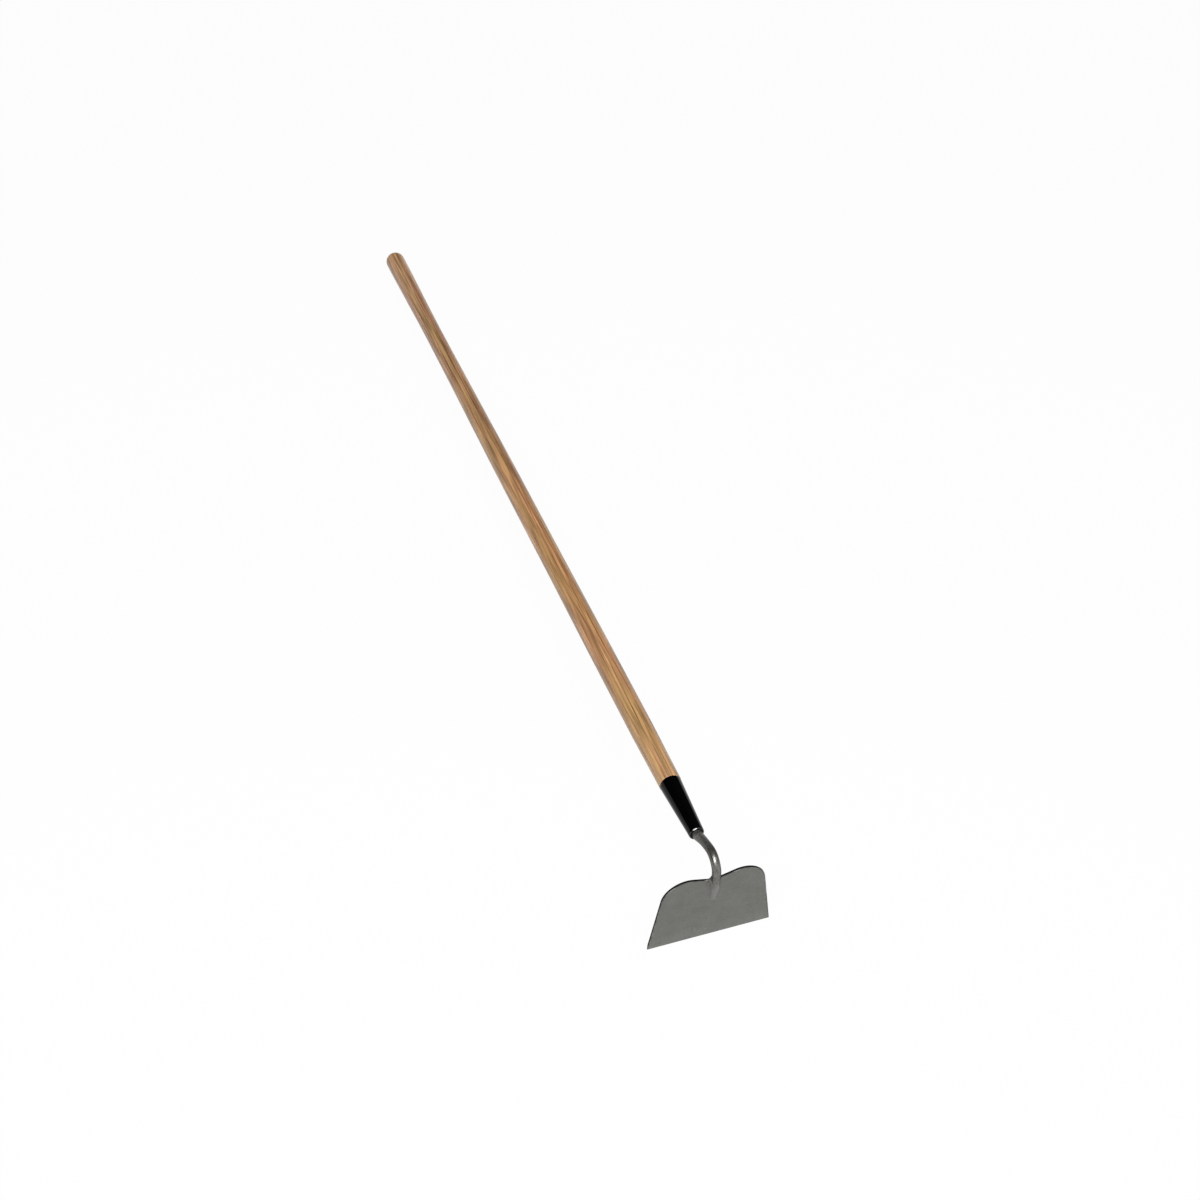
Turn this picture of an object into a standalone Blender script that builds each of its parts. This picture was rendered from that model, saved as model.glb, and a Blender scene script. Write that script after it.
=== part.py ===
"""Garden hoe: an ash pole, a black steel ferrule, and a steel gooseneck lapped and welded onto a plate blade.

All lengths are in metres. The hoe lies at rest on its cutting edge and its butt: the blade stands
plumb across Y with its outer face towards -X, and the pole slopes down from the head towards +X.
"""

from math import asin, atan2, cos, pi, radians, sin, sqrt, tan

import bmesh
import bpy
from mathutils import Vector

# Pole
POLE_REACH = 1.3675  # ferrule nose to butt tip: sold as a 54 in pole
BUTT_RADIUS = 0.0148
WAIST_RADIUS = 0.0131
WAIST_AT = 0.245  # the distances along the pole are from the butt
GRIP_RADIUS = 0.0147
GRIP_FROM = 0.680
GRIP_TO = 0.820
BELLY_RADIUS = 0.0153
BELLY_FROM = 1.040
BELLY_TO = 1.165
SHOULDER_RADIUS = 0.0143  # where the wood meets the ferrule

# Ferrule
FERRULE_LENGTH = 0.0892
FERRULE_TOP_RADIUS = 0.0140
FERRULE_WALL = 0.0012
LIP_WIDTH = 0.00285  # from the hole for the bar out to the ferrule's side
LIP_THICKNESS = 0.0016
LIP_ROUND = 0.0017
LIP_EDGE_ROUND = 0.0005

# Ferrule nail, on the underside
NAIL_FROM_NOSE = 0.074
NAIL_SHANK_RADIUS = 0.0012
NAIL_LENGTH = 0.0080
NAIL_HEAD_RADIUS = 0.0023
NAIL_HEAD_HEIGHT = 0.0008

# Neck: heights are above the cutting edge
NOSE_HEIGHT = 0.1186
NOSE_REACH = 0.0608  # from the blade's outer face
BAR_RADIUS = 0.0056  # 7/16 in bar
BAR_ROOT_RADIUS = 0.0064  # at the ferrule
BAR_ROOT_RUNOUT = 0.030
ELBOW_OUT = 0.0026  # the bar turns up about this far outside the ferrule
ELBOW_RADIUS = 0.012
RISE_RADIUS = 0.140  # from the elbow to the bend the bar arches slightly
CROWN_HEIGHT = 0.1371
BEND_RADIUS = 0.0192
DROP_STANDOFF = 0.00296  # centre line of the falling bar, out from the blade's outer face
TANG_LENGTH = 0.080
TANG_TIP_HALF = 0.0022
TANG_SQUARE_RUNOUT = 0.015
TANG_SQUARENESS = 4.0  # 2 is round

# Toe: the end of the bar, drawn down on the blade's outer face
TOE_LENGTH = 0.038  # below the blade's dip
TOE_HALF_WIDTH = 0.0062
TOE_END_HALF_WIDTH = 0.0034
TOE_END_CREST = 0.0014
TOE_END_ROUND = 0.0034
TOE_SHOULDER = 0.0028
TOE_WIDEST_AT = 0.2  # share of the toe's length

# Blade
BLADE_WIDTH = 0.159  # 6 1/4 in at the cutting edge
BLADE_THICKNESS = 0.0028
DIP_HEIGHT = 0.1046
DIP_ROUND = 0.008
TOP_SLOPE = radians(15.65)
SIDE_FLARE = radians(8.62)
LOBE_RADIUS = 0.0317
GRIND_HEIGHT = 0.0070
EDGE_THICKNESS = 0.0008

# Weld beads
BEAD_RADIUS = 0.0021
BEAD_END_RADIUS = 0.0008
BEAD_INSET = 0.0006  # bead centre line, in from the corner's clearance
BEAD_LENGTH = 0.022  # down the toe from the blade's top edge
BEAD_RISE = 0.0034  # above the blade's top edge

# Fits and faceting
FIT_GAP = 0.0003
MERGE = 0.00001
TURN_STEPS = 32
RING_POINTS = 24

# Worked out from the sizes above
POLE_TILT = asin((NOSE_HEIGHT - BUTT_RADIUS) / (POLE_REACH - BUTT_RADIUS))
POLE_DIRECTION = Vector((cos(POLE_TILT), 0, -sin(POLE_TILT)))
NOSE = Vector((NOSE_REACH, 0, NOSE_HEIGHT))
NOSE_HOLE_RADIUS = BAR_ROOT_RADIUS + FIT_GAP
FERRULE_NOSE_RADIUS = NOSE_HOLE_RADIUS + LIP_WIDTH
WOOD_END = LIP_THICKNESS + FIT_GAP
TOE_TOP = DIP_HEIGHT + TOE_HALF_WIDTH * tan(TOP_SLOPE) + FIT_GAP
TOE_TIP = DIP_HEIGHT - TOE_LENGTH


def clear_scene():
    for obj in list(bpy.data.objects):
        bpy.data.objects.remove(obj)


def new_collection(name):
    made = bpy.data.collections.new(name)
    bpy.context.scene.collection.children.link(made)
    return made


def new_material(name, colour, roughness, metallic):
    made = bpy.data.materials.new(name)
    made.use_nodes = True
    shader = made.node_tree.nodes["Principled BSDF"]
    shader.inputs["Base Color"].default_value = (*colour, 1)
    shader.inputs["Roughness"].default_value = roughness
    shader.inputs["Metallic"].default_value = metallic
    return made


def new_object(name, data, collection, parent=None):
    made = bpy.data.objects.new(name, data)
    collection.objects.link(made)
    made.parent = parent
    return made


def as_cutter(obj):
    obj.hide_render = True
    obj.display_type = "WIRE"
    return obj


def finish(obj, material):
    obj.data.materials.clear()
    obj.data.materials.append(material)
    return obj


def smooth(mesh, sharp_degrees=35):
    mesh.shade_smooth()
    mesh.set_sharp_from_angle(angle=radians(sharp_degrees))


def cut(obj, cutter, name):
    boolean = obj.modifiers.new(name, "BOOLEAN")
    boolean.operation = "DIFFERENCE"
    boolean.solver = "EXACT"
    boolean.object = cutter


def as_mesh(curve_object):
    """The same object as a mesh, with its caps welded on."""
    bpy.context.view_layer.update()
    graph = bpy.context.evaluated_depsgraph_get()
    mesh = bpy.data.meshes.new_from_object(curve_object.evaluated_get(graph))
    work = bmesh.new()
    work.from_mesh(mesh)
    bmesh.ops.remove_doubles(work, verts=work.verts, dist=MERGE)
    bmesh.ops.recalc_face_normals(work, faces=work.faces)
    work.to_mesh(mesh)
    work.free()
    name = curve_object.name
    parent = curve_object.parent
    place = curve_object.matrix_world.copy()
    collection = curve_object.users_collection[0]
    bpy.data.objects.remove(curve_object)
    made = new_object(name, mesh, collection, parent)
    made.matrix_world = place
    return made


def ease(start, end, share):
    """From start to end with a level start and a level finish."""
    share = min(max(share, 0), 1)
    return start + (end - start) * (1 - cos(pi * share)) / 2


def arc(centre, radius, start, end, steps):
    """Points on a circle from one angle to the other, both included."""
    turns = [start + (end - start) * i / steps for i in range(steps + 1)]
    return [(centre[0] + radius * cos(turn), centre[1] + radius * sin(turn)) for turn in turns]


def turned(name, profile, collection, parent):
    """A solid turned about its own Z axis, from (radius, height) points down its outer side."""
    last = len(profile) - 1
    edges = [(i, i + 1) for i in range(last)]
    if profile[0][0] > 0:
        edges.append((last, 0))
    mesh = bpy.data.meshes.new(name)
    mesh.from_pydata([(radius, 0, height) for radius, height in profile], edges, [])
    made = new_object(name, mesh, collection, parent)
    screw = made.modifiers.new("turn", "SCREW")
    screw.steps = TURN_STEPS
    screw.render_steps = TURN_STEPS
    screw.use_merge_vertices = True
    screw.merge_threshold = MERGE
    return made


# Pole, ferrule and nail: turned about the pole's axis, heights measured from the ferrule's nose


def ferrule_outer(height):
    share = height / FERRULE_LENGTH
    return FERRULE_NOSE_RADIUS + (FERRULE_TOP_RADIUS - FERRULE_NOSE_RADIUS) * share


def ferrule_inner(height):
    return ferrule_outer(height) - FERRULE_WALL


def wood_seat(height):
    return ferrule_inner(height) - FIT_GAP


def tang_half(height):
    """Half the bar's thickness inside the pole."""
    return BAR_ROOT_RADIUS + (TANG_TIP_HALF - BAR_ROOT_RADIUS) * height / TANG_LENGTH


def tang_squareness(height):
    return ease(2, TANG_SQUARENESS, height / TANG_SQUARE_RUNOUT)


def tang_heights():
    start = elbow_start()
    runout = [start + (TANG_SQUARE_RUNOUT - start) * i / 6 for i in range(6)]
    shank = TANG_LENGTH - TANG_SQUARE_RUNOUT
    return runout + [TANG_SQUARE_RUNOUT + shank * i / 4 for i in range(5)]


def bore_radius(height):
    """The pilot bore clears the corners of the tang."""
    corner = 2 ** (0.5 - 1 / tang_squareness(height))
    return tang_half(height) * corner + FIT_GAP


def pole_radius(from_butt):
    pole_end = POLE_REACH - FERRULE_LENGTH - FIT_GAP
    stations = (
        (BUTT_RADIUS, BUTT_RADIUS),
        (WAIST_AT, WAIST_RADIUS),
        (GRIP_FROM, GRIP_RADIUS),
        (GRIP_TO, GRIP_RADIUS),
        (BELLY_FROM, BELLY_RADIUS),
        (BELLY_TO, BELLY_RADIUS),
        (pole_end, SHOULDER_RADIUS),
    )
    for (near, near_radius), (far, far_radius) in zip(stations, stations[1:]):
        if from_butt <= far:
            return ease(near_radius, far_radius, (from_butt - near) / (far - near))
    return SHOULDER_RADIUS


def pole_profile():
    dome = arc((0, POLE_REACH - BUTT_RADIUS), BUTT_RADIUS, pi / 2, 0, 12)
    dome[0] = (0, POLE_REACH)
    shoulder = FERRULE_LENGTH + FIT_GAP
    body_steps = 36
    body_length = POLE_REACH - BUTT_RADIUS - shoulder
    body = []
    for i in range(1, body_steps + 1):
        from_butt = BUTT_RADIUS + body_length * i / body_steps
        body.append((pole_radius(from_butt), POLE_REACH - from_butt))
    seat = [(wood_seat(FERRULE_LENGTH), shoulder), (wood_seat(WOOD_END), WOOD_END)]
    bore = [(bore_radius(WOOD_END), WOOD_END)]
    bore += [(bore_radius(height), height) for height in tang_heights() if height > WOOD_END]
    bore_end = TANG_LENGTH + FIT_GAP
    return dome + body + seat + bore + [(bore_radius(TANG_LENGTH), bore_end), (0, bore_end)]


def ferrule_profile():
    nose_round = min(LIP_ROUND, LIP_WIDTH - LIP_EDGE_ROUND)
    nose_centre = (ferrule_outer(nose_round) - nose_round, nose_round)
    nose = arc(nose_centre, nose_round, 0, -pi / 2, 6)
    rim_centre = (NOSE_HOLE_RADIUS + LIP_EDGE_ROUND, LIP_EDGE_ROUND)
    rim = arc(rim_centre, LIP_EDGE_ROUND, -pi / 2, -pi, 3)
    inside = [(NOSE_HOLE_RADIUS, LIP_THICKNESS), (ferrule_inner(LIP_THICKNESS), LIP_THICKNESS)]
    top = [(ferrule_inner(FERRULE_LENGTH), FERRULE_LENGTH)]
    return [(FERRULE_TOP_RADIUS, FERRULE_LENGTH)] + nose + rim + inside + top


def nail_profile():
    """The nail hangs head up along its own Z axis, with the underside of its head at z = 0."""
    head = [(0, NAIL_HEAD_HEIGHT)]
    head += [(NAIL_HEAD_RADIUS * sin(turn), NAIL_HEAD_HEIGHT * cos(turn)) for turn in (0.5, 1.0, 1.4)]
    head.append((NAIL_HEAD_RADIUS, 0))
    point = NAIL_SHANK_RADIUS * 2
    shank = [(NAIL_SHANK_RADIUS, 0), (NAIL_SHANK_RADIUS, point - NAIL_LENGTH), (0, -NAIL_LENGTH)]
    return head + shank


def build_pole(parts, cutters, pole_axis, wood, black):
    handle = finish(turned("handle", pole_profile(), parts, pole_axis), wood)
    ferrule = finish(turned("ferrule", ferrule_profile(), parts, pole_axis), black)
    nail = finish(turned("ferrule_nail", nail_profile(), parts, pole_axis), black)
    surface = ferrule_outer(NAIL_FROM_NOSE) + FIT_GAP
    nail.location = (surface, 0, NAIL_FROM_NOSE)
    nail.rotation_euler = (0, pi / 2, 0)

    hole_mesh = bpy.data.meshes.new("nail_hole")
    work = bmesh.new()
    hole_radius = NAIL_SHANK_RADIUS + FIT_GAP
    inside = NAIL_LENGTH + FIT_GAP
    outside = NAIL_LENGTH
    bmesh.ops.create_cone(
        work, cap_ends=True, segments=16, radius1=hole_radius, radius2=hole_radius, depth=inside + outside
    )
    work.to_mesh(hole_mesh)
    work.free()
    hole = as_cutter(new_object("nail_hole", hole_mesh, cutters, pole_axis))
    hole.location = (surface + (outside - inside) / 2, 0, NAIL_FROM_NOSE)
    hole.rotation_euler = (0, pi / 2, 0)
    cut(ferrule, hole, "nail hole")
    cut(handle, hole, "nail hole")


# Neck: rings along a path in the XZ plane, from the tang's tip to the toe's tip


def outward(heading):
    """From the centre of a bend to the bar that passes over it with this heading."""
    return Vector((sin(heading), 0, -cos(heading)))


def ring(point, heading, chord, front, back, half_width, squareness):
    """Points round the bar. The front is the side that faces away from the user once it falls."""
    forward = outward(heading)
    points = []
    for i in range(RING_POINTS):
        turn = 2 * pi * i / RING_POINTS
        out = abs(sin(turn)) ** (2 / squareness)
        out = out * front if sin(turn) > 0 else -out * back
        across = abs(cos(turn)) ** (2 / squareness) * half_width
        across = across if cos(turn) > 0 else -across
        points.append(point + forward * (chord + out) + Vector((0, across, 0)))
    return points


def tang_rings():
    heading = pi - POLE_TILT
    rings = []
    for height in reversed(tang_heights()):
        half = tang_half(height)
        point = NOSE + POLE_DIRECTION * height
        rings.append(ring(point, heading, 0, half, half, half, tang_squareness(height)))
    return rings


def bend_centre():
    return Vector((BEND_RADIUS - DROP_STANDOFF, 0, CROWN_HEIGHT - BEND_RADIUS))


def rise_centre():
    """The centre of the rise's circle, which runs through the elbow and into the bend's circle."""
    elbow = NOSE - POLE_DIRECTION * ELBOW_OUT
    to_bend = bend_centre() - elbow
    apart = to_bend.length
    along = (RISE_RADIUS**2 - (RISE_RADIUS - BEND_RADIUS) ** 2 + apart**2) / (2 * apart)
    direction = to_bend / apart
    below = Vector((-direction.z, 0, direction.x))
    return elbow + direction * along + below * sqrt(RISE_RADIUS**2 - along**2)


def heading_over(centre, point):
    """The heading of a bar that bends over the centre, where it passes the point."""
    away = point - centre
    return atan2(away.x, -away.z) % (2 * pi)


def elbow_start():
    """How far inside the ferrule's nose the bar starts to turn up, to meet the rise without a corner."""
    up = outward(pi - POLE_TILT)
    offset = rise_centre() - NOSE - up * ELBOW_RADIUS
    apart = RISE_RADIUS + ELBOW_RADIUS
    return offset.dot(POLE_DIRECTION) + sqrt(apart**2 - offset.dot(up) ** 2)


def bent_path(centre, radius, start, end, steps):
    """Points and headings along a bend, after its first point."""
    headings = [start + (end - start) * i / steps for i in range(1, steps + 1)]
    return [(centre + outward(heading) * radius, heading) for heading in headings]


def swan_rings():
    """The elbow at the ferrule, the rise and the bend down to the blade."""
    start = pi - POLE_TILT
    elbow_centre = NOSE + POLE_DIRECTION * elbow_start() + outward(start) * ELBOW_RADIUS
    rise = heading_over(rise_centre(), elbow_centre)
    bend = heading_over(rise_centre(), bend_centre())
    path = bent_path(elbow_centre, -ELBOW_RADIUS, start, rise, 5)
    path += bent_path(rise_centre(), RISE_RADIUS, rise, bend, 5)
    path += bent_path(bend_centre(), BEND_RADIUS, bend, 1.5 * pi, 17)
    rings = []
    for point, heading in path:
        radius = ease(BAR_ROOT_RADIUS, BAR_RADIUS, (point - NOSE).length / BAR_ROOT_RUNOUT)
        rings.append(ring(point, heading, 0, radius, radius, radius, 2))
    return rings


def toe_half_width(share):
    if share < TOE_WIDEST_AT:
        return ease(BAR_RADIUS, TOE_HALF_WIDTH, share / TOE_WIDEST_AT)
    taper = (share - TOE_WIDEST_AT) / (1 - TOE_WIDEST_AT)
    return ease(TOE_HALF_WIDTH, TOE_END_HALF_WIDTH, taper)


def toe_crest(share):
    """How far the toe's crest stands out from the blade's outer face."""
    start = DROP_STANDOFF + BAR_RADIUS
    return start + (TOE_END_CREST - start) * share


def toe_rings(grow=0):
    """The bar loses its back above the blade, and its flat back then lies along the outer face."""
    heading = 1.5 * pi
    rings = []
    shoulder_steps = 4
    lapped_chord = FIT_GAP - DROP_STANDOFF
    for i in range(shoulder_steps):
        share = i / shoulder_steps
        point = Vector((-DROP_STANDOFF, 0, TOE_TOP + TOE_SHOULDER * (1 - share)))
        chord = lapped_chord * share
        front = BAR_RADIUS - chord
        back = ease(BAR_RADIUS, 0, share)
        size = BAR_RADIUS + grow
        rings.append(ring(point, heading, chord, front + grow, back + grow, size, 2))
    toe_steps = 14
    length = TOE_TOP - TOE_TIP
    blunt_end = 0.03  # keeps the last ring from closing to a point
    for i in range(toe_steps + 1):
        share = i / toe_steps
        share = share * (2 - share)
        left = length * (1 - share)
        rounding = sqrt(max(1 - max(1 - left / TOE_END_ROUND, 0) ** 2, blunt_end))
        point = Vector((-DROP_STANDOFF, 0, TOE_TIP + left - grow * share))
        half_width = toe_half_width(share) * rounding + grow
        front = (toe_crest(share) - FIT_GAP) * sqrt(rounding) + grow
        rings.append(ring(point, heading, lapped_chord, front, grow, half_width, 2))
    return rings


def lofted(name, rings, collection, parent):
    """Rings of equal count joined side to side, with the two ends closed."""
    work = bmesh.new()
    loops = [[work.verts.new(point) for point in points] for points in rings]
    for first, second in zip(loops, loops[1:]):
        for i in range(RING_POINTS):
            after = (i + 1) % RING_POINTS
            work.faces.new((first[i], first[after], second[after], second[i]))
    work.faces.new(loops[0])
    work.faces.new(loops[-1])
    bmesh.ops.remove_doubles(work, verts=work.verts, dist=MERGE)
    bmesh.ops.recalc_face_normals(work, faces=work.faces)
    mesh = bpy.data.meshes.new(name)
    work.to_mesh(mesh)
    work.free()
    smooth(mesh)
    return new_object(name, mesh, collection, parent)


def build_neck(parts, root, steel):
    rings = tang_rings() + swan_rings() + toe_rings()
    finish(lofted("neck", rings, parts, root), steel)


# Blade: outline points are (across, height above the cutting edge)


def lobe_centre():
    """The centre of the circle that touches both the top slope and the flared side."""
    side = Vector((cos(SIDE_FLARE), sin(SIDE_FLARE)))
    top = Vector((-sin(TOP_SLOPE), cos(TOP_SLOPE)))
    side_distance = side.x * BLADE_WIDTH / 2 - LOBE_RADIUS
    top_distance = top.y * DIP_HEIGHT - LOBE_RADIUS
    spread = side.x * top.y - side.y * top.x
    across = (side_distance * top.y - top_distance * side.y) / spread
    height = (side.x * top_distance - top.x * side_distance) / spread
    return across, height


def half_outline(grow=0):
    """From the middle of the dip to the corner of the cutting edge."""
    dip_radius = DIP_ROUND - grow
    dip_centre = (0, DIP_HEIGHT + DIP_ROUND / cos(TOP_SLOPE))
    dip = arc(dip_centre, dip_radius, -pi / 2, -pi / 2 + TOP_SLOPE, 3)
    lobe = arc(lobe_centre(), LOBE_RADIUS + grow, pi / 2 + TOP_SLOPE, SIDE_FLARE, 20)
    corner = (BLADE_WIDTH / 2 + grow * (cos(SIDE_FLARE) + tan(SIDE_FLARE)), -grow)
    return dip + lobe + [corner]


def blade_outline(grow=0):
    half = half_outline(grow)
    return half + [(-across, height) for across, height in reversed(half[1:])]


def flat_plate(name, outline, thickness, collection, parent):
    """A plate in its own XY plane, stood up so that its thickness lies along X."""
    curve = bpy.data.curves.new(name, "CURVE")
    curve.dimensions = "2D"
    curve.fill_mode = "BOTH"
    curve.extrude = thickness / 2
    spline = curve.splines.new("POLY")
    spline.points.add(len(outline) - 1)
    for point, (across, height) in zip(spline.points, outline):
        point.co = (across, height, 0, 1)
    spline.use_cyclic_u = True
    made = new_object(name, curve, collection, parent)
    made.rotation_euler = (pi / 2, 0, pi / 2)
    made.location = (BLADE_THICKNESS / 2, 0, 0)
    return as_mesh(made)


def grind_cutter(cutters, root):
    """A box with one face along the ground bevel, on the blade's inner side."""
    mesh = bpy.data.meshes.new("grind")
    work = bmesh.new()
    bmesh.ops.create_cube(work, size=1)
    depth = BLADE_THICKNESS * 2
    bmesh.ops.scale(work, vec=(depth, BLADE_WIDTH * 1.2, GRIND_HEIGHT * 3), verts=work.verts)
    work.to_mesh(mesh)
    work.free()
    cutter = as_cutter(new_object("grind", mesh, cutters, root))
    slope = atan2(BLADE_THICKNESS - EDGE_THICKNESS, GRIND_HEIGHT)
    middle = Vector(((BLADE_THICKNESS + EDGE_THICKNESS) / 2, 0, GRIND_HEIGHT / 2))
    cutter.location = middle + Vector((cos(slope), 0, -sin(slope))) * depth / 2
    cutter.rotation_euler = (0, slope, 0)
    return cutter


def build_blade(parts, cutters, root, steel):
    blade = finish(flat_plate("blade", blade_outline(), BLADE_THICKNESS, parts, root), steel)
    cut(blade, grind_cutter(cutters, root), "grind")


# Weld beads: a round bead laid in the corner between toe and blade, cut clear of both


def bead_curve(name, side, collection, parent):
    top = TOE_TOP + BEAD_RISE
    bottom = TOE_TOP - BEAD_LENGTH
    steps = 12
    curve = bpy.data.curves.new(name, "CURVE")
    curve.dimensions = "3D"
    curve.bevel_depth = 1
    curve.bevel_resolution = 2
    curve.use_fill_caps = True
    spline = curve.splines.new("POLY")
    spline.points.add(steps)
    for i, point in enumerate(spline.points):
        share = i / steps
        height = top + (bottom - top) * share
        toe_share = 1 - sqrt(1 - min(max((TOE_TOP - height) / (TOE_TOP - TOE_TIP), 0), 1))
        reach = toe_half_width(toe_share) + FIT_GAP + BEAD_INSET
        point.co = (-FIT_GAP - BEAD_INSET, side * reach, height, 1)
        point.radius = BEAD_END_RADIUS + (BEAD_RADIUS - BEAD_END_RADIUS) * sin(pi / 2 * (1 - share))
    return as_mesh(new_object(name, curve, collection, parent))


def toe_room_rings():
    """The toe grown by the fit gap, with the bar above it up past the tops of the beads."""
    rings = toe_rings(grow=FIT_GAP)
    rise = Vector((0, 0, BEAD_RISE + BEAD_RADIUS))
    return [[point + rise for point in rings[0]]] + rings


def build_beads(parts, cutters, root, steel):
    toe_room = as_cutter(lofted("toe_room", toe_room_rings(), cutters, root))
    room = BLADE_THICKNESS + 2 * FIT_GAP
    blade_room = as_cutter(flat_plate("blade_room", blade_outline(FIT_GAP), room, cutters, root))
    for name, side in (("weld_bead_left", 1), ("weld_bead_right", -1)):
        bead = finish(bead_curve(name, side, parts, root), steel)
        cut(bead, toe_room, "toe room")
        cut(bead, blade_room, "blade room")


def centre_on_origin(root, parts):
    """Moves the hoe along X until its box stands centred over the origin."""
    bpy.context.view_layer.update()
    graph = bpy.context.evaluated_depsgraph_get()
    reach = []
    for obj in parts.objects:
        if obj.type == "MESH":
            shown = obj.evaluated_get(graph)
            reach += [(shown.matrix_world @ vertex.co).x for vertex in shown.data.vertices]
    root.location.x = -(min(reach) + max(reach)) / 2


def main():
    clear_scene()
    parts = new_collection("garden_hoe")
    cutters = new_collection("cutters")
    wood = new_material("ash", (0.42, 0.23, 0.11), 0.45, 0)
    black = new_material("black_paint", (0.006, 0.006, 0.006), 0.25, 0)
    steel = new_material("grey_steel", (0.16, 0.16, 0.155), 0.5, 0.6)
    weld = new_material("weld_steel", (0.11, 0.11, 0.105), 0.6, 0.6)

    root = new_object("hoe", None, parts)
    pole_axis = new_object("pole_axis", None, parts, root)
    pole_axis.location = NOSE
    pole_axis.rotation_euler = (0, pi / 2 + POLE_TILT, 0)

    build_pole(parts, cutters, pole_axis, wood, black)
    build_neck(parts, root, steel)
    build_blade(parts, cutters, root, steel)
    build_beads(parts, cutters, root, weld)
    centre_on_origin(root, parts)


main()
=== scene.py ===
"""Looks of the garden hoe: lacquered ash pole, black ferrule, forged neck and plate blade.

All lengths are in metres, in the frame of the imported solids. The hoe lies on its cutting edge and
its butt, with the blade plumb across Y and its outer face towards -X.
"""

from math import asin, atan2, cos, pi, radians, sin, sqrt, tan

import bmesh
import bpy
from mathutils import Matrix, Vector, noise


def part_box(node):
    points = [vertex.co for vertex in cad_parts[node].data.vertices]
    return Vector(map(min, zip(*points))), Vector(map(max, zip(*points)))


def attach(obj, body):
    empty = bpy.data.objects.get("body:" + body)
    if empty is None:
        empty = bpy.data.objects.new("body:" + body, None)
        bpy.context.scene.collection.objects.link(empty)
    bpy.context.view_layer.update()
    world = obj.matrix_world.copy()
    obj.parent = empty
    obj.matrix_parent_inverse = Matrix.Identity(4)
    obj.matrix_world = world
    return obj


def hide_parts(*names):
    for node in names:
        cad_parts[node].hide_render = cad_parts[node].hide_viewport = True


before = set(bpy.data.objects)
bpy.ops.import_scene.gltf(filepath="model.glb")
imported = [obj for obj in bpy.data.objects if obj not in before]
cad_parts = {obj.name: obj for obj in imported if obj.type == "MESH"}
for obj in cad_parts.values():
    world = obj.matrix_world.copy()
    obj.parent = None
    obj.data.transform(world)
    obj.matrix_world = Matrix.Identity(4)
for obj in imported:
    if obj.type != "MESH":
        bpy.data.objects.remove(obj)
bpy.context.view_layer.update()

BODY = "root"

# Camera: found from the outlines of the hoe in the photo
CAMERA_BEHIND_BLADE = 1.4544
CAMERA_SIDE = 0.7316
CAMERA_HEIGHT = 2.1610
CAMERA_HEADING = radians(-21.35)
CAMERA_PITCH = radians(-44.66)
CAMERA_ROLL = radians(2.87)
CAMERA_LENS_MM = 66

# Pole
POLE_REACH = 1.3675
BUTT_RADIUS = 0.0148
WAIST_RADIUS = 0.0131
WAIST_AT = 0.245
GRIP_RADIUS = 0.0147
GRIP_FROM = 0.680
GRIP_TO = 0.820
BELLY_RADIUS = 0.0153
BELLY_FROM = 1.040
BELLY_TO = 1.165
SHOULDER_RADIUS = 0.0143
SHOULDER_ROUND = 0.0005

# Ferrule
FERRULE_LENGTH = 0.0892
FERRULE_TOP_RADIUS = 0.0140
FERRULE_WALL = 0.0012
FERRULE_TOP_ROUND = 0.0004
LIP_WIDTH = 0.00285
LIP_THICKNESS = 0.0016
LIP_BEVEL = 0.0015  # along the slope
LIP_BEVEL_TURN = radians(35)  # how far its middle leans towards the nose
LIP_BEVEL_CROWN = radians(5)
LIP_ROUND = 0.0004
LIP_EDGE_ROUND = 0.0004
LIP_BITE = 0.0002  # the lip is crimped tight on the bar

# Nail
NAIL_FROM_NOSE = 0.074
NAIL_HEAD_RADIUS = 0.0023
NAIL_HEAD_HEIGHT = 0.0008
NAIL_SHANK_RADIUS = 0.0012
NAIL_LENGTH = 0.0080
NAIL_HEAD_TURN = 1.4  # radians, from the dome's top to just above its rim

# Neck
NOSE_HEIGHT = 0.1186
NOSE_REACH = 0.0608
BAR_RADIUS = 0.0056
BAR_ROOT_RADIUS = 0.0064
BAR_ROOT_RUNOUT = 0.030
ELBOW_OUT = 0.0026
ELBOW_RADIUS = 0.012
RISE_RADIUS = 0.140
CROWN_HEIGHT = 0.1371
BEND_RADIUS = 0.0192
DROP_STANDOFF = 0.00296
TANG_LENGTH = 0.080
TANG_TIP_HALF = 0.0022
TANG_SQUARE_RUNOUT = 0.015
TANG_SQUARENESS = 4.0  # 2 is round
BORE_END_SHARE = 0.6  # the bore's radius at the tang's tip, as a share of the bar's at the ferrule

# Toe
TOE_LENGTH = 0.038
TOE_HALF_WIDTH = 0.0062
TOE_END_HALF_WIDTH = 0.0034
TOE_END_CREST = 0.0014
TOE_END_ROUND = 0.0034
TOE_SHOULDER = 0.0028
TOE_WIDEST_AT = 0.2  # share of the toe's length
TOE_SQUARENESS = 3.0
LEAST_ROUND = 0.02  # keeps the last ring of a rounded end from closing up

# Blade
BLADE_WIDTH = 0.159
BLADE_THICKNESS = 0.0028
DIP_HEIGHT = 0.1046
DIP_ROUND = 0.008
TOP_SLOPE = radians(15.65)
SIDE_FLARE = radians(8.62)
LOBE_RADIUS = 0.0317
GRIND_HEIGHT = 0.0070
EDGE_THICKNESS = 0.0008
BLADE_EDGE_ROUND = 0.00045
# Width of the band round each face of the blade that carries painted shade and painted highlights
PAINTED_RIM_WIDTH = 0.0016
BEVEL_LIKENESS = 0.999  # how nearly a face of the ground bevel points its way, at least
EDGE_LIKENESS = 0.75  # how nearly a face of the sheared edge points along X, at most

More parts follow.
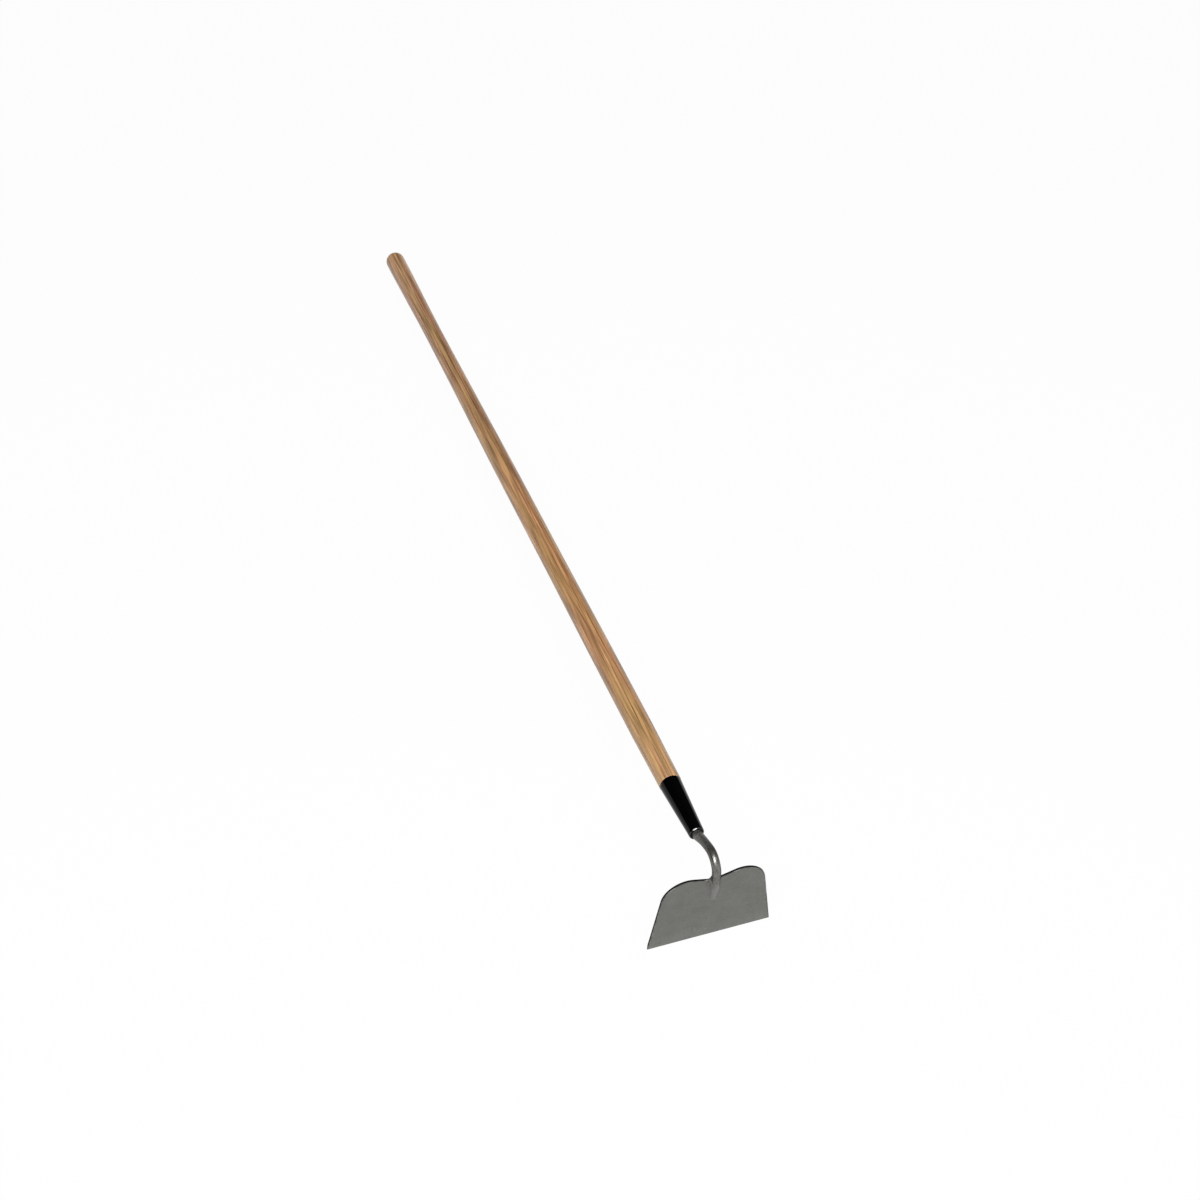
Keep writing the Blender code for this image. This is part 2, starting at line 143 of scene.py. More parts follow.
# Welds
WELD_WIDTH_LEFT = 0.0040
WELD_WIDTH_RIGHT = 0.0018
WELD_END_SHARE = 0.45  # its width at the toe's tip, as a share of the width at the top
WELD_FULLNESS = 0.75  # 0 is a hollow fillet and 1 is a flat one
WELD_CLIMB = 1.4  # how far up the toe's side it goes, as a share of its width
WELD_CLIMB_LIMIT = 0.75  # and at most this share of the crest
WEB_RADIUS_LEFT = 0.0074
WEB_RADIUS_RIGHT = 0.0016
WEB_FULLNESS = 0.35
WEB_TAPER = 0.8  # share that it loses towards the front
WEB_BACK_GAP = 0.0001  # it ends this far short of the bar's back
WELD_SINK = 0.0008
WELD_VOXEL = 0.00025
WELD_SMOOTHINGS = 8
WELD_GRAIN = 0.00010
WELD_GRAIN_SIZES = ((0.0011, 1.0), (0.0005, 0.5))  # each with its share of the height

# Fineness
FIT_GAP = 0.0003
TURN_STEPS = 96
RING_POINTS = 64
RING_STEP = 0.0006
MERGE_DISTANCE = 0.000005

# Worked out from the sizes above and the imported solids
BLADE_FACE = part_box("blade")[0].x
POLE_TILT = asin((NOSE_HEIGHT - BUTT_RADIUS) / (POLE_REACH - BUTT_RADIUS))
POLE_DIRECTION = Vector((cos(POLE_TILT), 0, -sin(POLE_TILT)))
NOSE = Vector((NOSE_REACH, 0, NOSE_HEIGHT))
NOSE_HOLE_RADIUS = BAR_ROOT_RADIUS - LIP_BITE
FERRULE_NOSE_RADIUS = BAR_ROOT_RADIUS + FIT_GAP + LIP_WIDTH
TOE_TIP = DIP_HEIGHT - TOE_LENGTH
HEAD_PLACE = Matrix.Translation((BLADE_FACE, 0, 0))
POLE_PLACE = HEAD_PLACE @ Matrix.Translation(NOSE) @ Matrix.Rotation(pi / 2 + POLE_TILT, 4, "Y")


# Small tools


def ease(start, end, share):
    """From start to end with a level start and a level finish."""
    share = min(max(share, 0), 1)
    return start + (end - start) * (1 - cos(pi * share)) / 2


def arc(centre, radius, start, end, steps):
    """Points on a circle from one angle to the other, both included."""
    turns = [start + (end - start) * i / steps for i in range(steps + 1)]
    return [(centre[0] + radius * cos(turn), centre[1] + radius * sin(turn)) for turn in turns]


def finished_mesh(work, name, sharp_degrees=40):
    bmesh.ops.remove_doubles(work, verts=work.verts, dist=MERGE_DISTANCE)
    bmesh.ops.recalc_face_normals(work, faces=work.faces)
    mesh = bpy.data.meshes.new(name)
    work.to_mesh(mesh)
    work.free()
    mesh.shade_smooth()
    mesh.set_sharp_from_angle(angle=radians(sharp_degrees))
    return mesh


def turned_mesh(name, profile, closed):
    """A profile of (radius, height) points turned about Z. A closed one goes round a hole."""
    work = bmesh.new()
    rings = []
    for radius, height in profile:
        if radius == 0:
            rings.append([work.verts.new((0, 0, height))] * TURN_STEPS)
            continue
        turns = [2 * pi * i / TURN_STEPS for i in range(TURN_STEPS)]
        rings.append([work.verts.new((radius * cos(t), radius * sin(t), height)) for t in turns])
    pairs = list(zip(rings, rings[1:]))
    if closed:
        pairs.append((rings[-1], rings[0]))
    for first, second in pairs:
        for i in range(TURN_STEPS):
            after = (i + 1) % TURN_STEPS
            corners = [first[i], first[after], second[after], second[i]]
            work.faces.new(list(dict.fromkeys(corners)))
    return finished_mesh(work, name)


def join_rings(work, rings):
    """Rings of equal count joined side to side, with the two ends closed."""
    loops = [[work.verts.new(point) for point in points] for points in rings]
    for first, second in zip(loops, loops[1:]):
        for i in range(len(first)):
            after = (i + 1) % len(first)
            work.faces.new((first[i], first[after], second[after], second[i]))
    work.faces.new(loops[0])
    work.faces.new(loops[-1])


def lofted_mesh(name, rings):
    work = bmesh.new()
    join_rings(work, rings)
    return finished_mesh(work, name)


def add_piece(name, mesh, material, stands_for, place):
    piece = bpy.data.objects.new(name, mesh)
    bpy.context.scene.collection.objects.link(piece)
    mesh.transform(place)
    mesh.materials.append(material)
    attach(piece, BODY)
    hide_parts(*stands_for)
    return piece


# Material tools


def node(tree, kind, inputs=(), **settings):
    """A shader node with its settings and with its inputs linked or set."""
    made = tree.nodes.new(kind)
    for name, value in settings.items():
        setattr(made, name, value)
    for name, value in dict(inputs).items():
        socket = made.inputs[name]
        if isinstance(value, bpy.types.NodeSocket):
            tree.links.new(value, socket)
        else:
            socket.default_value = value
    return made


def maths(tree, operation, first, second=0.0, third=0.0, clamp=False):
    inputs = {0: first, 1: second, 2: third}
    return node(tree, "ShaderNodeMath", inputs, operation=operation, use_clamp=clamp).outputs[0]


def stretched(tree, source, size):
    """Coordinates divided by a size along each axis, so that one unit is one feature."""
    scale = tuple(1 / length for length in size)
    made = node(tree, "ShaderNodeVectorMath", {0: source, 1: scale}, operation="MULTIPLY")
    return made.outputs[0]


def noise_value(tree, source, size, detail=2.0, roughness=0.5, distortion=0.0):
    inputs = {
        "Vector": stretched(tree, source, size),
        "Scale": 1.0,
        "Detail": detail,
        "Roughness": roughness,
        "Distortion": distortion,
    }
    return node(tree, "ShaderNodeTexNoise", inputs).outputs["Fac"]


def ramp(tree, factor, stops):
    """Colours or greys at places from 0 to 1."""
    made = node(tree, "ShaderNodeValToRGB", {"Fac": factor})
    elements = made.color_ramp.elements
    while len(elements) < len(stops):
        elements.new(0.5)
    for element, (place, colour) in zip(elements, stops):
        element.position = place
        element.color = (*colour, 1) if isinstance(colour, tuple) else (colour, colour, colour, 1)
    return made.outputs["Color"]


def mixed(tree, factor, first, second, blend_type="MIX"):
    made = tree.nodes.new("ShaderNodeMix")
    made.data_type = "RGBA"
    made.blend_type = blend_type
    for index, value in ((0, factor), (6, first), (7, second)):
        if isinstance(value, bpy.types.NodeSocket):
            tree.links.new(value, made.inputs[index])
        elif index == 0:
            made.inputs[index].default_value = value
        else:
            made.inputs[index].default_value = (*value, 1)
    return made.outputs[2]


def toned(tree, colour, factor, stops):
    """The colour times the grey or the tint of a ramp."""
    return mixed(tree, 1.0, colour, ramp(tree, factor, stops), "MULTIPLY")


def share_between(tree, value, start, end):
    """0 up to where the value reaches the start, and 1 from where it reaches the end."""
    return maths(tree, "DIVIDE", maths(tree, "SUBTRACT", value, start), end - start, clamp=True)


def srgb(red, green, blue):
    """Linear colour from 0 to 255 screen values."""
    screen = [value / 255 for value in (red, green, blue)]
    return tuple(v / 12.92 if v <= 0.04045 else ((v + 0.055) / 1.055) ** 2.4 for v in screen)


def new_material(name, roughness, metallic=0.0, **constants):
    """A Principled material. Constants go straight on the shader's own sockets."""
    material = bpy.data.materials.new(name)
    material.use_nodes = True
    shader = material.node_tree.nodes["Principled BSDF"]
    shader.inputs["Roughness"].default_value = roughness
    shader.inputs["Metallic"].default_value = metallic
    for words, value in constants.items():
        shader.inputs[words.replace("_", " ")].default_value = value
    return material, material.node_tree, shader


def connect(tree, shader, **sources):
    """Links sources to the shader's sockets, whose names have an underscore here for each space."""
    for words, source in sources.items():
        tree.links.new(source, shader.inputs[words.replace("_", " ")])


def add_bump(tree, shader, height, depth, strength=1.0):
    made = node(tree, "ShaderNodeBump", {"Height": height, "Distance": depth, "Strength": strength})
    connect(tree, shader, Normal=made.outputs["Normal"])


def object_coordinates(tree):
    return tree.nodes.new("ShaderNodeTexCoord").outputs["Object"]


def pole_coordinates(tree):
    """Places in the pole's own frame: X down, Y across and Z from the ferrule's nose to the butt."""
    start = POLE_PLACE.translation
    turn = POLE_PLACE.to_euler()
    inputs = {"Vector": object_coordinates(tree), "Location": start, "Rotation": turn}
    return node(tree, "ShaderNodeMapping", inputs, vector_type="TEXTURE").outputs[0]


# Materials


# Painted shade in the neck's glancing reflections, standing in for darker surroundings
EDGE_GLOSS = 0.35  # share of the plain metal's gloss left at a glancing view of the bend
# Heights between which the neck goes over to the toe's plain colour and full gloss, below the painted
# shade of the rise
TOE_ZONE_FROM = 0.1200  # heights above the cutting edge
TOE_ZONE_TO = 0.1060
# The toe's right edge is lighter over this width: partly wear, partly a painted highlight.
TOE_WEAR_AND_GLINT_WIDTH = 0.0025  # along the toe's right edge
# Places of painted highlights on the blade's rim, as glints on its upper part
GLINT_PLACES = (0.0545, -0.028)  # across the blade, on its rim
GLINT_HALF = 0.005
GLINT_ABOVE = 0.080
SPOTS_FROM = 0.0940
SPOTS_TO = 0.1020
BURNT_FROM = 0.1080
BURNT_TO = 0.1130
POLISH_HEIGHT = 0.022  # the soil polishes the blade up to about here
RING_SPACING = 0.0034
PITH = (0.035, -0.110)  # the tree's centre in the pole's own X and Y
GRAIN_SLOPE = 0.006  # how far the rings drift across, for each metre along
GRAIN_WANDER = 0.0070
RING_UNEVENNESS = 1.2
STREAK_ACROSS = -0.0026  # a red-brown streak in the wood, in the pole's own Y
STREAK_HALF = 0.0013
STREAK_WANDER = 0.0040
STREAK_DEPTH = 0.7  # share of its own colour


def growth_rings(tree, place):
    """A count that rises by one with each ring, over rings that run nearly along the pole."""
    x, y, z = node(tree, "ShaderNodeSeparateXYZ", {0: place}).outputs
    ring_x = maths(tree, "SUBTRACT", x, PITH[0])
    ring_y = maths(tree, "SUBTRACT", maths(tree, "MULTIPLY_ADD", z, GRAIN_SLOPE, y), PITH[1])
    flat = node(tree, "ShaderNodeCombineXYZ", {0: ring_x, 1: ring_y})
    from_pith = node(tree, "ShaderNodeVectorMath", {0: flat.outputs[0]}, operation="LENGTH")
    bend = maths(tree, "SUBTRACT", noise_value(tree, place, (0.05, 0.05, 0.35), 1.0), 0.5)
    distance = maths(tree, "MULTIPLY_ADD", bend, GRAIN_WANDER, from_pith.outputs["Value"])
    rings = maths(tree, "DIVIDE", distance, RING_SPACING)
    uneven = node(tree, "ShaderNodeCombineXYZ", {0: rings})
    uneven = noise_value(tree, uneven.outputs[0], (1.5, 1.5, 1.5), 0.0)
    return maths(tree, "MULTIPLY_ADD", uneven, RING_UNEVENNESS, rings)


def brown_streak(tree, place):
    """1 in a wavering, broken layer of darker wood that runs the length of the pole."""
    y = node(tree, "ShaderNodeSeparateXYZ", {0: place}).outputs["Y"]
    bend = maths(tree, "SUBTRACT", noise_value(tree, place, (0.05, 0.05, 0.16), 2.0), 0.5)
    centre = maths(tree, "MULTIPLY_ADD", bend, STREAK_WANDER, STREAK_ACROSS)
    aside = maths(tree, "ABSOLUTE", maths(tree, "SUBTRACT", y, centre))
    inside = maths(tree, "SUBTRACT", 1.0, maths(tree, "DIVIDE", aside, STREAK_HALF), clamp=True)
    broken = noise_value(tree, place, (0.006, 0.006, 0.05), 2.0)
    return maths(tree, "MULTIPLY", inside, ramp(tree, broken, ((0.35, 0.35), (0.60, 1.0))))


def ash_material():
    """Ash under thin lacquer: broken streaks of dark early wood, pale late wood and pores."""
    material, tree, shader = new_material(
        "lacquered_ash", 0.45, Coat_Weight=0.45, Coat_Roughness=0.28, Specular_IOR_Level=0.3
    )
    place = pole_coordinates(tree)
    rings = growth_rings(tree, place)
    within = maths(tree, "FRACT", rings)
    early = ramp(tree, within, ((0.0, 0.1), (0.14, 1.0), (0.38, 0.7), (0.70, 0.1), (1.0, 0.05)))
    year = maths(tree, "FLOOR", rings)
    strength = node(tree, "ShaderNodeTexWhiteNoise", {"W": year}, noise_dimensions="1D")
    strength = maths(tree, "MULTIPLY_ADD", strength.outputs["Value"], 0.70, 0.10)
    broken = noise_value(tree, place, (0.0035, 0.0035, 0.090), 1.0)
    broken = ramp(tree, broken, ((0.34, 0.25), (0.62, 1.0)))
    early = maths(tree, "MULTIPLY", maths(tree, "MULTIPLY", early, strength), broken)

    patch = noise_value(tree, place, (0.008, 0.008, 0.30), 2.0)
    late_wood = ramp(tree, patch, ((0.35, srgb(204, 162, 116)), (0.65, srgb(184, 141, 101))))
    early_wood = ramp(tree, patch, ((0.35, srgb(142, 104, 60)), (0.65, srgb(138, 92, 54))))
    colour = mixed(tree, early, late_wood, early_wood)
    streak = maths(tree, "MULTIPLY", brown_streak(tree, place), STREAK_DEPTH)
    colour = mixed(tree, streak, colour, srgb(148, 92, 50))

    hue = noise_value(tree, place, (0.0034, 0.0034, 0.140), 0.0)
    hues = ((0.30, (0.95, 1.01, 0.88)), (0.50, (1.0, 1.0, 1.0)), (0.70, (1.05, 0.97, 1.05)))
    colour = toned(tree, colour, hue, hues)
    streaks = noise_value(tree, place, (0.0021, 0.0021, 0.080), 1.0)
    colour = toned(tree, colour, streaks, ((0.30, 0.55), (0.50, 1.0), (0.70, 1.42)))
    fibre = noise_value(tree, place, (0.0009, 0.0009, 0.050), 0.0)
    colour = toned(tree, colour, fibre, ((0.25, 0.84), (0.50, 1.0), (0.75, 1.14)))

    pores = noise_value(tree, place, (0.00045, 0.00045, 0.016), 0.0)
    pores = ramp(tree, pores, ((0.56, 0.0), (0.64, 1.0)))
    pores = maths(tree, "MULTIPLY", pores, maths(tree, "MULTIPLY_ADD", early, 0.75, 0.10))
    colour = mixed(tree, pores, colour, srgb(92, 58, 34))

    # The pole darkens towards the nose and lightens towards the butt: partly the wood's own tone, partly
    # painted light that makes up for the key lamp's fall-off towards the butt.
    z = node(tree, "ShaderNodeSeparateXYZ", {0: place}).outputs["Z"]
    along = share_between(tree, z, 0.0, POLE_REACH)
    tone_and_painted_light = (
        (0.0, (0.80, 0.81, 0.81)),
        (0.40, (0.80, 0.75, 0.67)),
        (0.85, (0.84, 0.83, 0.88)),
        (1.0, (1.02, 1.00, 1.12)),
    )
    colour = toned(tree, colour, along, tone_and_painted_light)
    rough = ramp(tree, streaks, ((0.2, 0.52), (0.8, 0.40)))
    connect(tree, shader, Base_Color=colour, Roughness=rough)
    return material


def black_paint_material():
    material, tree, shader = new_material("black_paint", 0.08, Specular_IOR_Level=0.13)
    place = pole_coordinates(tree)
    film = noise_value(tree, place, (0.0022, 0.0022, 0.004), 2.0)
    colour = ramp(tree, film, ((0.3, 0.0003), (0.7, 0.0007)))
    rough = ramp(tree, film, ((0.3, 0.06), (0.7, 0.10)))
    connect(tree, shader, Base_Color=colour, Roughness=rough)
    add_bump(tree, shader, film, 0.00003, 0.3)
    return material


def nose_gloss_material():
    """The paint where it has pooled on the ferrule's nose, thick and glossy."""
    material, tree, shader = new_material("pooled_paint", 0.12, Specular_IOR_Level=0.65)
    place = pole_coordinates(tree)
    film = noise_value(tree, place, (0.003, 0.003, 0.003), 1.0)
    colour = ramp(tree, film, ((0.3, 0.0003), (0.7, 0.0010)))
    rough = ramp(tree, film, ((0.3, 0.10), (0.7, 0.15)))
    connect(tree, shader, Base_Color=colour, Roughness=rough)
    return material


def steel_colour(tree, place, base, blotch_size, blotch_depth, speck_size, speck_depth):
    """Grey steel with soft blotches and fine specks, each as a share of the base colour."""
    blotch = noise_value(tree, place, (blotch_size,) * 3, 3.0, 0.6)
    colour = toned(tree, base, blotch, ((0.3, 1 - blotch_depth), (0.7, 1 + blotch_depth)))
    speck = noise_value(tree, place, (speck_size,) * 3, 2.0, 0.6)
    return toned(tree, colour, speck, ((0.34, 1 - speck_depth), (0.66, 1 + speck_depth))), speck


def blade_material(name, painted_rim):
    """Rolled plate with faint blotches and scattered marks. On its rim, patches of painted shade and
    painted highlight, and painted glints at set places.
    """
    material, tree, shader = new_material(name, 0.42, metallic=0.85, Coat_Weight=0.2, Coat_Roughness=0.3)
    place = object_coordinates(tree)
    colour, speck = steel_colour(tree, place, srgb(105, 105, 101), 0.020, 0.08, 0.0016, 0.06)
    marks = noise_value(tree, place, (0.0034, 0.0034, 0.0026), 1.0)
    colour = toned(tree, colour, marks, ((0.27, 0.82), (0.34, 1.0), (0.66, 1.0), (0.73, 1.24)))
    _, y, z = node(tree, "ShaderNodeSeparateXYZ", {0: place}).outputs
    colour = toned(tree, colour, share_between(tree, z, 0.0, POLISH_HEIGHT), ((0.0, 1.14), (1.0, 1.0)))
    # The rim band: dark patches of painted shade and light patches of painted highlight, then painted
    # glints at set places on its upper part.
    if painted_rim:
        rim_shade_and_glints = noise_value(tree, place, (0.011, 0.011, 0.011), 2.0)
        colour = toned(tree, colour, rim_shade_and_glints, ((0.46, 0.62), (0.62, 1.30)))
        shoulder = maths(tree, "GREATER_THAN", z, GLINT_ABOVE)
        for across in GLINT_PLACES:
            aside = maths(tree, "ABSOLUTE", maths(tree, "SUBTRACT", y, across))
            inside = ramp(tree, maths(tree, "DIVIDE", aside, GLINT_HALF), ((0.4, 0.8), (1.0, 0.0)))
            painted_glint = maths(tree, "MULTIPLY", inside, shoulder)
            colour = mixed(tree, painted_glint, colour, srgb(146, 146, 142))
    streaks = noise_value(tree, place, (0.002, 0.030, 0.0008), 2.0)
    rough = ramp(tree, streaks, ((0.3, 0.38), (0.7, 0.50)))
    connect(tree, shader, Base_Color=colour, Roughness=rough)
    add_bump(tree, shader, speck, 0.00008, 0.5)
    return material


def forged_material():
    """The neck: less metallic and with painted shade on its rise, gloss at the bend, and a toe with a
    lighter right edge, partly worn and partly a painted highlight.
    """
    material, tree, shader = new_material("forged_steel", 0.36, metallic=0.9)
    place = object_coordinates(tree)
    x, y, z = node(tree, "ShaderNodeSeparateXYZ", {0: place}).outputs
    rise = share_between(tree, x, BLADE_FACE, BLADE_FACE + NOSE_REACH)
    toe_zone = share_between(tree, z, TOE_ZONE_FROM, TOE_ZONE_TO)
    toe_zone = maths(tree, "MULTIPLY", toe_zone, ramp(tree, rise, ((0.05, 1.0), (0.20, 0.0))))

    colour, speck = steel_colour(tree, place, srgb(112, 111, 107), 0.006, 0.16, 0.0013, 0.12)
    # Painted shade and light: the rise darker, lighter near the ferrule and much lighter at the foot of
    # the bend, standing in for what the steel mirrors there.
    colour = toned(tree, colour, rise, ((0.0, 1.22), (0.25, 0.74), (0.65, 0.68), (0.95, 0.77)))
    pits = noise_value(tree, place, (0.0017, 0.0017, 0.0017), 1.0, distortion=1.2)
    colour = toned(tree, colour, pits, ((0.37, 0.42), (0.46, 1.0)))

    toe, _ = steel_colour(tree, place, srgb(111, 110, 107), 0.006, 0.08, 0.0013, 0.08)
    taper = (TOE_HALF_WIDTH - TOE_END_HALF_WIDTH) / (TOE_LENGTH * (1 - TOE_WIDEST_AT))
    from_tip = maths(tree, "SUBTRACT", z, TOE_TIP)
    half_width = maths(tree, "MULTIPLY_ADD", from_tip, taper, TOE_END_HALF_WIDTH)
    # A lighter strip down the toe's right edge: partly a worn edge, partly a painted highlight.
    from_edge = share_between(tree, maths(tree, "ADD", half_width, y), 0.0, TOE_WEAR_AND_GLINT_WIDTH)
    toe = toned(tree, toe, from_edge, ((0.55, 2.1), (0.75, 1.0)))
    colour = mixed(tree, toe_zone, colour, toe)

    dull = ramp(tree, rise, ((0.15, 0.90), (0.45, 0.55)))
    # Painted shade in the reflections: a low tint dims the glancing gloss of the rise and bend, standing
    # in for darker surroundings; the toe keeps full gloss.
    edge = maths(tree, "MAXIMUM", ramp(tree, rise, ((0.45, EDGE_GLOSS), (0.95, 0.75))), toe_zone)
    rough = ramp(tree, speck, ((0.3, 0.36), (0.7, 0.27)))
    connect(tree, shader, Base_Color=colour, Metallic=dull, Specular_Tint=edge, Roughness=rough)
    add_bump(tree, shader, maths(tree, "ADD", speck, pits), 0.00015, 0.6)
    return material


def weld_material():
    """Steel like the plate's, spotted with scale near the blade's top edge and burnt dark above it."""
    material, tree, shader = new_material("weld_scale", 0.45, metallic=0.85)
    place = object_coordinates(tree)
    colour, speck = steel_colour(tree, place, srgb(112, 111, 107), 0.004, 0.08, 0.0009, 0.08)
    z = node(tree, "ShaderNodeSeparateXYZ", {0: place}).outputs["Z"]
    spots = noise_value(tree, place, (0.0019, 0.0019, 0.0019), 1.0)
    spots = ramp(tree, spots, ((0.38, 1.0), (0.47, 0.0)))
    spots = maths(tree, "MULTIPLY", spots, share_between(tree, z, SPOTS_FROM, SPOTS_TO))
    colour = toned(tree, colour, spots, ((0.0, 1.0), (1.0, 0.30)))
    burnt = share_between(tree, z, BURNT_FROM, BURNT_TO)
    colour = toned(tree, colour, burnt, ((0.0, 1.0), (1.0, 0.50)))
    connect(tree, shader, Base_Color=colour)
    add_bump(tree, shader, speck, 0.00020, 0.7)
    return material


def sheared_edge_material():
    """The cut edge of the plate: dark scale, with fine specks in its surface."""
    material, tree, shader = new_material("sheared_edge", 0.6, Specular_IOR_Level=0.10)
    place = object_coordinates(tree)
    colour, speck = steel_colour(tree, place, srgb(14, 14, 14), 0.006, 0.2, 0.0008, 0.2)
    connect(tree, shader, Base_Color=colour)
    add_bump(tree, shader, speck, 0.0001, 0.5)
    return material


def ground_edge_material():
    """The ground bevel: bright steel with fine grinding lines square to the cutting edge."""
    material, tree, shader = new_material("ground_edge", 0.3, metallic=1.0)
    place = object_coordinates(tree)
    lines = noise_value(tree, place, (0.01, 0.0004, 0.02), 3.0, 0.7)
    colour = ramp(tree, lines, ((0.3, srgb(140, 140, 137)), (0.7, srgb(186, 186, 182))))
    rough = ramp(tree, lines, ((0.3, 0.40), (0.7, 0.26)))
    connect(tree, shader, Base_Color=colour, Roughness=rough)
    add_bump(tree, shader, lines, 0.00006, 0.6)
    return material


# Pole, ferrule and nail: heights are from the ferrule's nose, along the pole


def ferrule_outer(height):
    share = height / FERRULE_LENGTH
    return FERRULE_NOSE_RADIUS + (FERRULE_TOP_RADIUS - FERRULE_NOSE_RADIUS) * share


def ferrule_inner(height):
    return ferrule_outer(height) - FERRULE_WALL


def pole_radius(from_butt):
    stations = (
        (BUTT_RADIUS, BUTT_RADIUS),
        (WAIST_AT, WAIST_RADIUS),
        (GRIP_FROM, GRIP_RADIUS),
        (GRIP_TO, GRIP_RADIUS),
        (BELLY_FROM, BELLY_RADIUS),
        (BELLY_TO, BELLY_RADIUS),
        (POLE_REACH - FERRULE_LENGTH, SHOULDER_RADIUS),
    )
    for (near, near_radius), (far, far_radius) in zip(stations, stations[1:]):
        if from_butt <= far:
            return ease(near_radius, far_radius, (from_butt - near) / (far - near))
    return SHOULDER_RADIUS


def handle_mesh():
    dome = arc((0, POLE_REACH - BUTT_RADIUS), BUTT_RADIUS, pi / 2, 0, 20)
    dome[0] = (0, POLE_REACH)
    steps = 200
    shoulder = FERRULE_LENGTH + FIT_GAP / 3
    length = POLE_REACH - BUTT_RADIUS - shoulder - SHOULDER_ROUND
    body = []
    for i in range(1, steps + 1):
        from_butt = BUTT_RADIUS + length * i / steps
        body.append((pole_radius(from_butt), POLE_REACH - from_butt))
    round_centre = (SHOULDER_RADIUS - SHOULDER_ROUND, shoulder + SHOULDER_ROUND)
    rounding = arc(round_centre, SHOULDER_ROUND, 0, -pi / 2, 5)[1:]
    seat_gap = FERRULE_WALL + FIT_GAP
    seat_end = LIP_THICKNESS + FIT_GAP
    seat = [(ferrule_outer(FERRULE_LENGTH) - seat_gap, shoulder)]
    seat.append((ferrule_outer(seat_end) - seat_gap, seat_end))
    bore_end = TANG_LENGTH + FIT_GAP
    bore = [(BAR_ROOT_RADIUS + FIT_GAP, seat_end)]
    bore += [(BAR_ROOT_RADIUS * BORE_END_SHARE, bore_end), (0, bore_end)]
    return turned_mesh("handle", dome + body + rounding + seat + bore, False)


def bevel_profile():
    """The slightly crowned bevel round the ferrule's nose, and the small round under it."""
    crown_radius = LIP_BEVEL / LIP_BEVEL_CROWN
    first = LIP_BEVEL_TURN - LIP_BEVEL_CROWN / 2
    last = LIP_BEVEL_TURN + LIP_BEVEL_CROWN / 2
    bevel = arc((0, 0), crown_radius, -first, -last, 8)
    under = arc((0, 0), LIP_ROUND, -last, -pi / 2, 5)
    under = [(bevel[-1][0] + x - under[0][0], bevel[-1][1] + y - under[0][1]) for x, y in under[1:]]
    shape = bevel + under
    drop = shape[0][1] - shape[-1][1]
    out = ferrule_outer(drop) - shape[0][0]
    return [(x + out, y - shape[-1][1]) for x, y in shape]


def ferrule_mesh():
    top_centre = (FERRULE_TOP_RADIUS - FERRULE_TOP_ROUND, FERRULE_LENGTH - FERRULE_TOP_ROUND)
    top = arc(top_centre, FERRULE_TOP_ROUND, pi / 2, 0, 4)
    side_steps = 24
    side = []
    bevel_top = bevel_profile()[0][1]
    for i in range(1, side_steps):
        height = FERRULE_LENGTH + (bevel_top - FERRULE_LENGTH) * i / side_steps
        side.append((ferrule_outer(height), height))
    nose = bevel_profile()
    rim_centre = (NOSE_HOLE_RADIUS + LIP_EDGE_ROUND, LIP_EDGE_ROUND)
    rim = arc(rim_centre, LIP_EDGE_ROUND, -pi / 2, -pi, 5)
    inside = [(NOSE_HOLE_RADIUS, LIP_THICKNESS), (ferrule_inner(LIP_THICKNESS), LIP_THICKNESS)]
    inside.append((ferrule_inner(FERRULE_LENGTH), FERRULE_LENGTH))
    mesh = turned_mesh("ferrule", top + side + nose + rim + inside, True)
    for face in mesh.polygons:
        face.material_index = int(face.center.z < bevel_top)
    return mesh


def nail_mesh():
    """The nail stands along its own Z axis, with the underside of its head at z = 0."""
    turns = [NAIL_HEAD_TURN * i / 6 for i in range(7)]
    head = [(NAIL_HEAD_RADIUS * sin(turn), NAIL_HEAD_HEIGHT * cos(turn)) for turn in turns]
    point = NAIL_SHANK_RADIUS * 2
    shank = [(NAIL_HEAD_RADIUS, 0), (NAIL_SHANK_RADIUS, 0)]
    shank += [(NAIL_SHANK_RADIUS, point - NAIL_LENGTH), (0, -NAIL_LENGTH)]
    return turned_mesh("ferrule_nail", head + shank, False)


def add_pole():
    black = black_paint_material()
    add_piece("ash_handle", handle_mesh(), ash_material(), ["handle"], POLE_PLACE)
    ferrule = add_piece("black_ferrule", ferrule_mesh(), black, ["ferrule"], POLE_PLACE)
    ferrule.data.materials.append(nose_gloss_material())
    on_surface = Matrix.Translation((ferrule_outer(NAIL_FROM_NOSE), 0, NAIL_FROM_NOSE))
    nail_place = POLE_PLACE @ on_surface @ Matrix.Rotation(pi / 2, 4, "Y")
    add_piece("nail", nail_mesh(), black, ["ferrule_nail"], nail_place)


# Neck: rings along a path in the XZ plane, from the tang's tip to the toe's tip


def outward(heading):
    """From the centre of a bend to the bar that passes over it with this heading."""
    return Vector((sin(heading), 0, -cos(heading)))


def ring(point, heading, chord, front, back, half_width, squareness):
    """Points round the bar. The front is the side that faces away from the user once it falls."""
    forward = outward(heading)
    points = []
    for i in range(RING_POINTS):
        turn = 2 * pi * i / RING_POINTS
        out = abs(sin(turn)) ** (2 / squareness)
        out = out * front if sin(turn) > 0 else -out * back
        across = abs(cos(turn)) ** (2 / squareness) * half_width
        across = across if cos(turn) > 0 else -across
        points.append(point + forward * (chord + out) + Vector((0, across, 0)))
    return points


